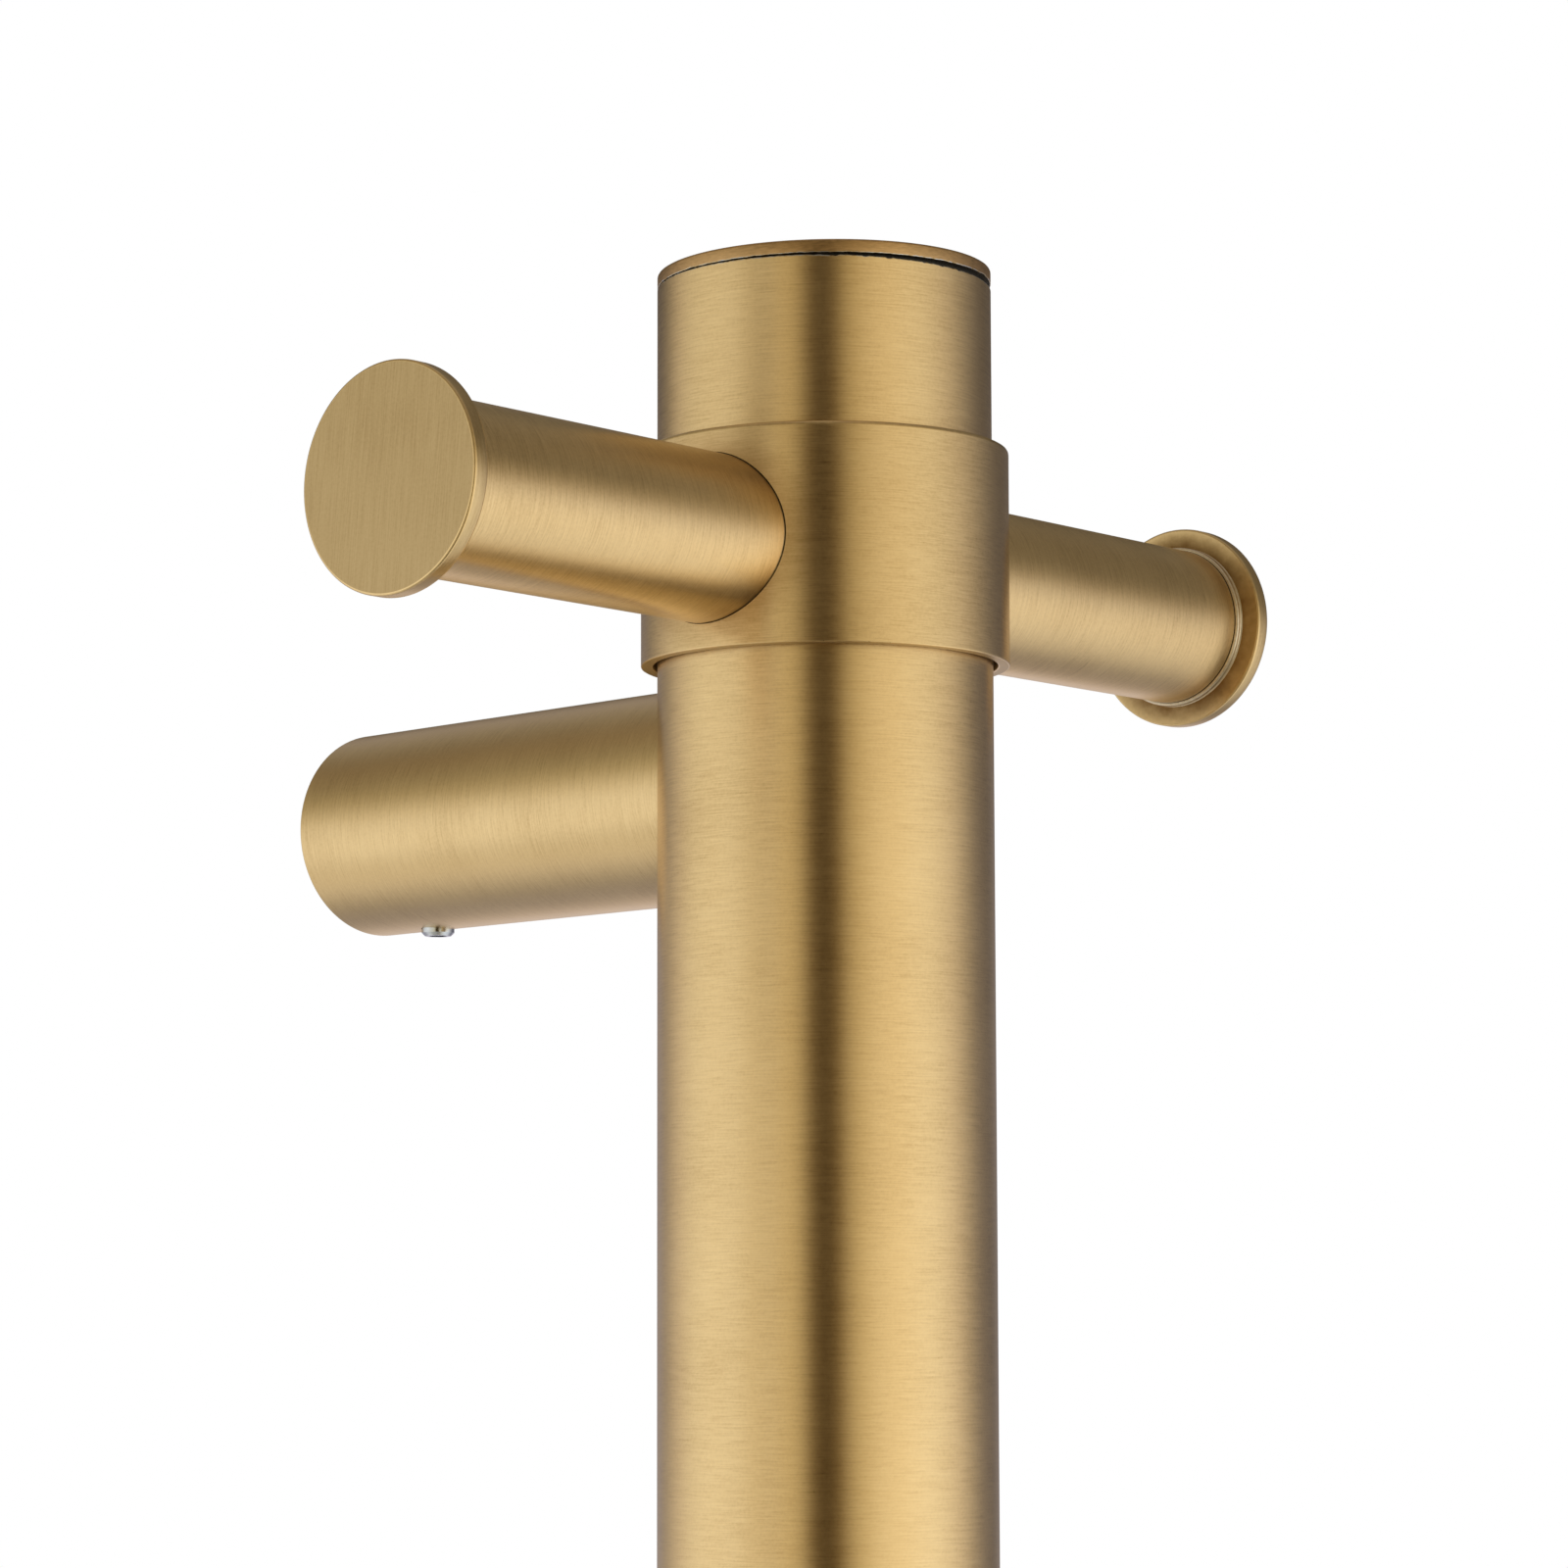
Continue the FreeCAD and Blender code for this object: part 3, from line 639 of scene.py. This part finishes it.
def rail_tube():
    corners = [
        Corner(TUBE.start, TUBE.radius, TUBE_LIP_ROUNDING, SIDE, CHIPPED),
        Corner(TUBE.end, TUBE.radius, TUBE_LIP_ROUNDING, CHIPPED, CHIPPED),
        Corner(TUBE.end, TUBE.bore, LIP_ROUNDING, BORE, CHIPPED),
        Corner(TUBE.start, TUBE.bore, LIP_ROUNDING, CHIPPED, CHIPPED),
    ]

    def warp(along, _, i):
        nominal, lip = (TUBE.end, LIPS["top"]) if along > 0 else (TUBE.start, LIPS["bottom"])
        return along - nominal + lip[i]

    piece = turned("upright_tube", corners, UPRIGHT, BRASS_FINISHES, FINE_SEGMENTS, warp)
    bolt = extent("upper_saddle_nut", BRACKETS["upper"]).bore
    for place in BRACKETS.values():
        cut_hole(piece, place, bolt, 0, TUBE.radius + CUT_PAST)
    lead_place, lead_hole_radius = lead_hole()
    cut_hole(piece, lead_place, lead_hole_radius, 0, TUBE.radius + CUT_PAST)
    stands_for(piece, "rail_tube", "rail")


def lead_hole():
    """Place and radius of the hole for the heating leads, under the lower bracket's axis."""
    live_low, live_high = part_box("live_lead")
    _, neutral_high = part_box("neutral_lead")
    lead_radius = (live_high.x - live_low.x) / 2
    drop = BRACKETS["lower"].translation.z - (live_low.z + lead_radius)
    place = BRACKETS["lower"] @ Matrix.Translation((0, drop, 0))
    return place, max(live_high.x, neutral_high.x) + LEAD_CLEARANCE


def end_cap(level, side, seed):
    """Disc with a hollow spigot; side is 1 at the top and -1 at the bottom."""
    node = f"{level}_cap"
    size = extent(node, UPRIGHT)
    outer, inner = (size.end, size.start) if side > 0 else (size.start, size.end)
    face = cap_face(level)
    spigot = radius_at(node, UPRIGHT, inner)
    corners = [
        Corner(outer, 0.0, 0, FIRST_OWN),
        Corner(outer, size.radius, EDGE_ROUNDING, SECOND_OWN, SECOND_OWN),
        Corner(face, size.radius, LIP_ROUNDING, DARK, CHIPPED),
        Corner(face, spigot, 0, BORE),
        Corner(inner, spigot, LIP_ROUNDING, BORE),
        Corner(inner, size.bore, LIP_ROUNDING, BORE),
        Corner(face, size.bore, 0, BORE),
        Corner(face, 0.0, 0, BORE),
    ]
    edge = ragged(seed, CAP_CHIP, CAP_GRAIN)

    def warp(along, radius, i):
        near_lip = abs(along - face) < EDGE_ROUNDING and radius > TUBE.bore
        return along - side * (cap_dip(level, radius, i) + edge[i] * near_lip)

    finishes = BRASS_FINISHES + [DISC_FACE, CAP_SIDE]
    piece = turned(f"{level}_end_cap", corners, UPRIGHT, finishes, FINE_SEGMENTS, warp)
    stands_for(piece, node, "rail")


def cap_seal(level, side):
    """Black ring in the gap under a cap."""
    node = f"{level}_cap_seal"
    size = extent(node, UPRIGHT)
    face = cap_face(level)
    tube_end = size.start if side > 0 else size.end
    corners = [
        Corner(tube_end, size.bore),
        Corner(tube_end, size.radius),
        Corner(face, size.radius),
        Corner(face, size.bore),
    ]

    def warp(along, radius, i):
        if along == face:
            return along - side * (cap_dip(level, radius, i) + SEAL_CLEARANCE)
        return LIPS[level][i] + side * SEAL_CLEARANCE

    rubber = SLOT_FINISHES["black_rubber"]
    piece = turned(f"{level}_cap_gasket", corners, UPRIGHT, [rubber], FINE_SEGMENTS, warp)
    stands_for(piece, node, "rail")


# Tubes with a saddle end: brackets and pegs

def saddle(round_radius, end):
    """A warp that fits the start of a tube round the upright or the collar."""
    def warp(along, radius, i):
        if along > end / 2:
            return along
        sideways = radius * math.cos(2 * math.pi * i / SEGMENTS)
        return along + math.sqrt(round_radius ** 2 - sideways ** 2)

    return warp


def saddle_tube(name, size, place, round_radius, side_finish, shorter=0.0):
    """Tube from the round upright or collar outwards."""
    end = size.end - shorter
    corners = [
        Corner(0.0, size.radius, SADDLE_ROUNDING, SIDE, EDGE),
        Corner(end, size.radius, EDGE_ROUNDING / 2, BORE, EDGE),
        Corner(end, size.bore, BORE_ROUNDING, BORE),
        Corner(0.0, size.bore, SADDLE_ROUNDING, DARK, DARK),
    ]
    finishes = [side_finish] + BRASS_FINISHES[1:]
    return turned(name, corners, place, finishes, SEGMENTS, saddle(round_radius, end))


def cut_seat(collar, side):
    """Cut the shallow round seat of a peg into the collar, a little off its centre."""
    place = PEGS[side]
    peg_size = extent(f"{side}_peg", place)
    towards_room = 1 if side == "left" else -1
    corners = [
        Corner(0.0, peg_size.radius + SEAT_GAP, 0, DARK),
        Corner(COLLAR.radius + CUT_PAST, peg_size.radius + SEAT_GAP, 0, DARK),
        Corner(COLLAR.radius + CUT_PAST, peg_size.bore, 0, DARK),
        Corner(0.0, peg_size.bore, 0, DARK),
    ]
    shifted = place @ Matrix.Translation((towards_room * SEAT_OFF_CENTRE, 0, 0))
    bottom = saddle(COLLAR.radius - SEAT_DEPTH, COLLAR.radius)
    cutter = turned("cutter", corners, shifted, BRASS_FINISHES, SEGMENTS, bottom)
    cut_away(collar, cutter)


def bracket(level):
    node = f"{level}_bracket_tube"
    place = BRACKETS[level]
    size = extent(node, place)
    piece = saddle_tube(f"{level}_bracket", size, place, TUBE.radius + SEAM_GAP, BRACKET_AROUND)
    grub = grub_place(level)
    grub_radius = extent("bracket_grub_screws", grub, -SAME_BRACKET, SAME_BRACKET).radius + HOLE_CLEARANCE
    cut_hole(piece, grub, grub_radius, 0, size.radius + CUT_PAST)
    stands_for(piece, node, "rail")


def grub_place(level):
    """Own Z runs down from the bracket's axis, through its grub screw."""
    screws = local_points("bracket_grub_screws", BRACKETS[level])
    along = screws[:, 2]
    across = (along.min() + along.max()) / 2
    return placed(BRACKETS[level] @ Vector((0, 0, across)), -Z, X)


def peg(side):
    node = f"{side}_peg"
    place = PEGS[side]
    size = extent(node, place)
    in_seat = COLLAR.radius - SEAT_DEPTH + SEAM_GAP
    piece = saddle_tube(f"{side}_peg_tube", size, place, in_seat, AROUND, PEG_JOINT_GAP)
    stands_for(piece, node, "hook")


def peg_disc(side):
    """End disc with its shiny shoulder and the spigot that fits the peg."""
    node = f"{side}_peg_disc"
    place = PEGS[side]
    size = extent(node, place)
    shoulder = extent(f"{side}_peg", place).end
    step = radius_at(node, place, shoulder)
    spigot = radius_at(node, place, size.start)
    back = inner_face(node, place, step)
    corners = [
        Corner(size.end, 0.0, 0, FIRST_OWN),
        Corner(size.end, size.radius, EDGE_ROUNDING, SIDE, EDGE),
        Corner(back, size.radius, EDGE_ROUNDING, SECOND_OWN, EDGE),
        Corner(back, step, 0, BEAD_PART),
        Corner(shoulder, step, BEAD_ROUNDING, DARK, BEAD_PART),
        Corner(shoulder, spigot, 0, DARK),
        Corner(size.start, spigot, EDGE_ROUNDING, BORE),
        Corner(size.start, 0.0, 0, BORE),
    ]
    finishes = [DISC_AROUND] + BRASS_FINISHES[1:] + [DISC_FACE, DISC_BACK, BEAD]
    piece = turned(f"{side}_end_disc", corners, place, finishes)
    stands_for(piece, node, "hook")


def inner_face(node, place, step):
    """Where the disc's back face lies: the first place outside the shoulder's radius."""
    points = local_points(node, place)
    outside = np.hypot(points[:, 0], points[:, 1]) > step + PAST_STEP
    return points[outside, 2].min()


def hook_collar():
    """Ring that slips over the upright, grooved inside for its two glide rings."""
    glide = extent("upper_glide_ring", HOOK)
    half_groove = (glide.end - glide.start) / 2 + GROOVE_CLEARANCE
    groove_middle = (glide.end + glide.start) / 2
    groove_radius = glide.radius + HOLE_CLEARANCE
    corners = [
        Corner(COLLAR.start, COLLAR.radius, RIM_SHARP, SIDE, EDGE),
        Corner(COLLAR.end, COLLAR.radius, RIM_ROUNDING, FIRST_OWN, EDGE),
        Corner(COLLAR.end, COLLAR.bore, BORE_ROUNDING, BORE),
    ]
    for centre in (groove_middle, -groove_middle):
        for along, radius in (
            (centre + half_groove, COLLAR.bore), (centre + half_groove, groove_radius),
            (centre - half_groove, groove_radius), (centre - half_groove, COLLAR.bore),
        ):
            corners.append(Corner(along, radius, 0, BORE))
    corners.append(Corner(COLLAR.start, COLLAR.bore, RIM_SHARP, FIRST_OWN, EDGE))
    finishes = [COLLAR_AROUND] + BRASS_FINISHES[1:] + [COLLAR_END]
    piece = turned("hook_ring", corners, HOOK, finishes, COLLAR_SEGMENTS)
    for side, place in PEGS.items():
        cut_seat(piece, side)
        screw = extent("peg_screws", place, after=0)
        head = screw.start + HOLE_CLEARANCE
        shank = extent("left_peg_plug", PEGS["left"]).bore
        cut_hole(piece, place, screw.radius + HOLE_CLEARANCE, 0, head)
        cut_hole(piece, place, screw.radius + HOLE_CLEARANCE, head, head + screw.radius - shank, shank)
        cut_hole(piece, place, shank, head, COLLAR.radius + CUT_PAST)
    stands_for(piece, "hook_collar", "hook")


# Studio

FLOOR_RADIUS = 0.8
FLOOR_SEGMENTS = 128
FLOOR_DROP = 0.3                # how far the floor is under the rail
FLOOR_GRAIN = 60 * MM
FLOOR_DEPTH = 50 * MICRON
FLOOR_STOPS = [(0.3, (0.80, 0.82, 0.86)), (0.7, (0.84, 0.86, 0.90))]
FLOOR_ROUGHNESS = (0.6, 0.75)
LAMP_SIZE = 3.0
LAMP_WATTS = 60
LAMP_HEIGHT = 0.9               # above the top of the rail
NEAREST_SEEN = 10 * MM


def floor():
    finish = Finish("pale_floor")
    look = finish.grain(even(FLOOR_GRAIN))
    pale = finish.set(
        base_color=finish.colours(look, *FLOOR_STOPS),
        roughness=finish.spread(look, *FLOOR_ROUGHNESS),
        normal=finish.bump(look, FLOOR_DEPTH),
    )
    shape = bmesh.new()
    bmesh.ops.create_circle(shape, cap_ends=True, segments=FLOOR_SEGMENTS, radius=FLOOR_RADIUS)
    ground = linked_object("floor", shape, [pale])
    ground.location = (0, UPRIGHT.translation.y, cad_box[0].z - FLOOR_DROP)
    ground.visible_glossy = False


# Soft light from all round, by degrees from the camera's side: negative is to its left
COOL, FLANK, PLAIN, GOLDEN, AMBER, WARM = (
    (1.0, 0.98, 1.22), (1.0, 0.97, 1.02), (1.0, 1.02, 1.04), (1.0, 0.965, 0.87), (1.0, 0.92, 0.70),
    (1.0, 0.56, 0.12),
)
LIGHT_TINT = (1.0, 0.93, 0.79)
LIGHT_ROUND = [
    (-180, 0.34, COOL), (-150, 0.36, COOL), (-138, 0.43, FLANK), (-120, 0.76, FLANK),
    (-103, 1.02, PLAIN), (-85, 1.15, PLAIN), (-66, 1.11, PLAIN), (-50, 1.02, GOLDEN),
    (-36, 0.95, GOLDEN), (-25, 0.90, AMBER), (-17, 0.72, AMBER), (-11, 0.15, WARM),
    (-6, 0.04, WARM), (3, 0.04, WARM), (8, 0.17, WARM), (15, 0.66, AMBER), (23, 0.90, AMBER),
    (34, 1.13, GOLDEN), (48, 1.26, GOLDEN), (66, 1.29, PLAIN), (80, 1.17, PLAIN), (97, 0.87, FLANK),
    (110, 0.51, FLANK), (125, 0.25, COOL), (147, 0.17, COOL), (180, 0.34, COOL),
]
# What is left of it high up: dimmer behind, in one patch at the left and a little in front
HIGH_ROUND = [
    (-180, 0.15, PLAIN), (-150, 0.22, PLAIN), (-138, 0.42, PLAIN), (-120, 0.94, PLAIN),
    (-68, 0.99, PLAIN), (-56, 0.76, PLAIN), (-46, 0.48, PLAIN), (-38, 0.56, PLAIN),
    (-28, 0.98, GOLDEN), (-12, 0.8, GOLDEN), (3, 0.6, AMBER), (14, 0.88, GOLDEN), (34, 0.93, GOLDEN),
    (66, 0.96, GOLDEN), (97, 0.95, PLAIN), (110, 0.9, PLAIN), (125, 0.8, PLAIN), (147, 0.5, PLAIN),
    (180, 0.15, PLAIN),
]
# What is left of it low down: dimmer in front, and a little brighter at the back left
LOW_ROUND = [
    (-180, 1.0, PLAIN), (-125, 1.0, PLAIN), (-116, 1.2, PLAIN), (-106, 1.18, GOLDEN),
    (-98, 0.8, GOLDEN), (-88, 0.45, AMBER), (-60, 0.35, AMBER), (10, 0.35, AMBER), (45, 0.5, AMBER),
    (75, 0.85, GOLDEN), (95, 1.0, PLAIN), (180, 1.0, PLAIN),
]
# Degrees above the horizon over which each comes in
HIGH_SPAN = (7, 12)
LOW_SPAN = (-20, -36)
# Patches of light added on top, round and up: behind the object low down, behind its left side
# high up, and a faint one at its right
PATCHES = [
    (
        [
            (-180, 0.70, COOL), (-160, 0.10, COOL), (-148, 0.0, COOL),
            (148, 0.0, COOL), (162, 0.30, COOL), (180, 0.70, COOL),
        ],
        [
            (-90, 0.1, AMBER), (-40, 0.3, AMBER), (-28, 0.6, AMBER), (-18, 1.0, GOLDEN),
            (-9, 0.9, PLAIN), (-3, 0.1, PLAIN), (0, 0.0, PLAIN),
        ],
    ),
    (
        [
            (-180, 0.10, COOL), (-166, 0.34, COOL), (-148, 0.20, PLAIN),
            (-132, 0.0, PLAIN), (172, 0.0, COOL), (180, 0.10, COOL),
        ],
        [(18, 0.0, PLAIN), (30, 1.0, PLAIN), (42, 0.6, PLAIN), (60, 0.3, PLAIN), (90, 0.3, PLAIN)],
    ),
    (
        [(84, 0.0, PLAIN), (104, 0.05, PLAIN), (118, 0.08, PLAIN), (135, 0.0, PLAIN)],
        [(8, 0.0, PLAIN), (18, 1.0, PLAIN), (32, 1.0, GOLDEN), (45, 0.0, PLAIN)],
    ),
]
# How much of it there is at each height, by degrees above the horizon
LIGHT_UP = [
    (-90, 0.35, PLAIN), (-60, 0.60, PLAIN), (-42, 0.84, PLAIN), (-28, 0.97, PLAIN), (-12, 1.00, PLAIN),
    (2, 0.91, PLAIN), (11, 0.74, GOLDEN), (20, 0.48, AMBER), (30, 0.28, AMBER), (45, 0.12, WARM),
    (90, 0.10, WARM),
]
# A weaker light that is there on every side, from above and below
FILL_UP = [
    (-90, 0.25, PLAIN), (-50, 0.08, PLAIN), (-25, 0.0, PLAIN), (15, 0.0, GOLDEN), (28, 0.06, AMBER),
    (45, 0.20, GOLDEN), (90, 0.34, PLAIN),
]
# The right-hand light leans: it reaches further round the lower it gets, by this many degrees each
LIGHT_LEAN = 0.7
# Parts of a turn from which it starts to lean and leans fully: 0.5 is the camera's side
LEAN_FROM, LEAN_FULL = 0.5, 0.67
# What the ends of the lists above stand for, in degrees
ALL_ROUND = (-180, 180)
ALL_UP = (-90, 90)


def part_of(span, degrees):
    """Where degrees lies in a span, from 0 to 1."""
    low, high = span
    return (degrees - low) / (high - low)


def lit(nodes, value, stops, span):
    """The light at value, from stops of degrees, level and tint."""
    levels = [(part_of(span, degrees), tinted(tint, level)) for degrees, level, tint in stops]
    return nodes.colours(value, *levels)


def studio_light():
    """A dome of soft light with a dark gap behind the camera; the camera itself sees white."""
    world = bpy.data.worlds.new("studio")
    world.use_nodes = True
    bpy.context.scene.world = world
    world.node_tree.nodes.clear()
    nodes = Nodes(world.node_tree)
    direction = nodes.node("ShaderNodeTexCoord", {}).outputs["Generated"]
    round_it = round_camera(nodes, direction)
    height = nodes.node("ShaderNodeSeparateXYZ", {"Vector": direction}).outputs["Z"]
    up = nodes.maths("MULTIPLY_ADD", nodes.maths("ARCSINE", height), 1 / math.pi, 0.5)
    soft = nodes.node("ShaderNodeBackground", {"Color": soft_light(nodes, round_it, up), "Strength": 1.0})
    white = nodes.node("ShaderNodeBackground", {"Color": (1, 1, 1, 1), "Strength": 1.0})
    seen = nodes.node("ShaderNodeLightPath", {}).outputs["Is Camera Ray"]
    both = nodes.node("ShaderNodeMixShader", {0: seen, 1: soft.outputs[0], 2: white.outputs[0]})
    nodes.node("ShaderNodeOutputWorld", {"Surface": both.outputs[0]})


def round_camera(nodes, direction):
    """How far round direction lies, in parts of a turn; the camera's side is at 0.5."""
    # The gradient is 0.5 along +X, so the camera's side is turned there
    camera_side = math.atan2(CAMERA_FROM_HOOK.y, CAMERA_FROM_HOOK.x)
    turned_round = nodes.node(
        "ShaderNodeVectorRotate", {"Vector": direction, "Angle": -camera_side}, rotation_type="Z_AXIS"
    ).outputs["Vector"]
    gradient = nodes.node("ShaderNodeTexGradient", {"Vector": turned_round}, gradient_type="RADIAL")
    return gradient.outputs["Fac"]


def soft_light(nodes, round_it, up):
    """Colour of the dome, by parts of a turn round and from 0 straight down to 1 straight up."""
    # 0 on the left, rising to 1 within a sixth of a turn on the right
    right = nodes.eased(round_it, LEAN_FROM, LEAN_FULL)
    # A part of the whole height is half as many degrees as a part of a turn
    above = nodes.maths("SUBTRACT", up, 0.5)
    lean = nodes.maths("MULTIPLY", above, nodes.maths("MULTIPLY", right, LIGHT_LEAN / 2))
    leaning = nodes.maths("ADD", round_it, lean)
    light = nodes.mixed(
        "MULTIPLY", lit(nodes, leaning, LIGHT_ROUND, ALL_ROUND), lit(nodes, up, LIGHT_UP, ALL_UP)
    )
    for stops, (none_at, full_at) in ((HIGH_ROUND, HIGH_SPAN), (LOW_ROUND, LOW_SPAN)):
        share = nodes.eased(up, part_of(ALL_UP, none_at), part_of(ALL_UP, full_at))
        light = nodes.mixed("MULTIPLY", light, lit(nodes, round_it, stops, ALL_ROUND), share)
    for round_stops, up_stops in PATCHES:
        across = lit(nodes, round_it, round_stops, ALL_ROUND)
        light = nodes.mixed("ADD", light, nodes.mixed("MULTIPLY", across, lit(nodes, up, up_stops, ALL_UP)))
    light = nodes.mixed("ADD", light, lit(nodes, up, FILL_UP, ALL_UP))
    return nodes.mixed("MULTIPLY", light, (*LIGHT_TINT, 1))


def overhead_light():
    """Brightens the floor only: metal doesn't mirror it."""
    lamp = bpy.data.lights.new("overhead", "AREA")
    lamp.shape = "DISK"
    lamp.size = LAMP_SIZE
    lamp.energy = LAMP_WATTS
    overhead = bpy.data.objects.new("overhead", lamp)
    bpy.context.scene.collection.objects.link(overhead)
    overhead.location = (0, UPRIGHT.translation.y, cad_box[1].z + LAMP_HEIGHT)
    overhead.visible_glossy = False


def camera():
    forward = Vector((
        math.sin(CAMERA_AZIMUTH) * math.cos(CAMERA_TILT),
        math.cos(CAMERA_AZIMUTH) * math.cos(CAMERA_TILT),
        math.sin(CAMERA_TILT),
    ))
    right = Vector((math.cos(CAMERA_AZIMUTH), -math.sin(CAMERA_AZIMUTH), 0))
    up = right.cross(forward)
    turn = Matrix((right, up, -forward)).transposed() @ Matrix.Rotation(CAMERA_ROLL, 3, "Z")
    lens = bpy.data.cameras.new("photo_camera")
    lens.lens = LENS_MM
    lens.sensor_width = SENSOR_MM
    lens.clip_start = NEAREST_SEEN
    eye = bpy.data.objects.new("photo_camera", lens)
    eye.matrix_world = Matrix.Translation(HOOK_CENTRE + CAMERA_FROM_HOOK) @ turn.to_4x4()
    bpy.context.scene.collection.objects.link(eye)
    bpy.context.scene.camera = eye


finish_cad_nodes()
rail_tube()
for cap_level, cap_side, cap_seed in (("top", 1, 21), ("bottom", -1, 22)):
    end_cap(cap_level, cap_side, cap_seed)
    cap_seal(cap_level, cap_side)
for bracket_level in BRACKETS:
    bracket(bracket_level)
hook_collar()
for peg_side in PEGS:
    peg(peg_side)
    peg_disc(peg_side)
floor()
studio_light()
overhead_light()
camera()
bpy.context.scene.view_settings.view_transform = "Standard"
